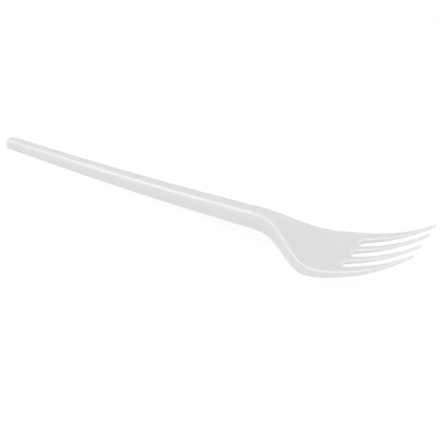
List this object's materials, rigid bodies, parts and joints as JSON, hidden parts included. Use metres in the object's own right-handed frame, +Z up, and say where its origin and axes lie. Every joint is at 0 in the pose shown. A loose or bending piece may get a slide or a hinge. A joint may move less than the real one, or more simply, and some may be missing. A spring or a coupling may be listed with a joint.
{
  "type": "disposable plastic fork",
  "caption": "One-piece moulded plastic table fork with a channel-section handle, a flared dished bowl and upturned tapering tines.",
  "frame": {"origin": "centre of the footprint on the surface that the fork lies on", "axes": "+X from the handle's end to the tines, +Y across the bowl, +Z up with the tines turned up"},
  "size_m": [0.1654, 0.024, 0.017],
  "materials": {
    "fork_plastic": "white polystyrene, smooth moulded satin gloss"
  },
  "bodies": {
    "root": {"fork": "fork_plastic"}
  },
  "joints": []
}
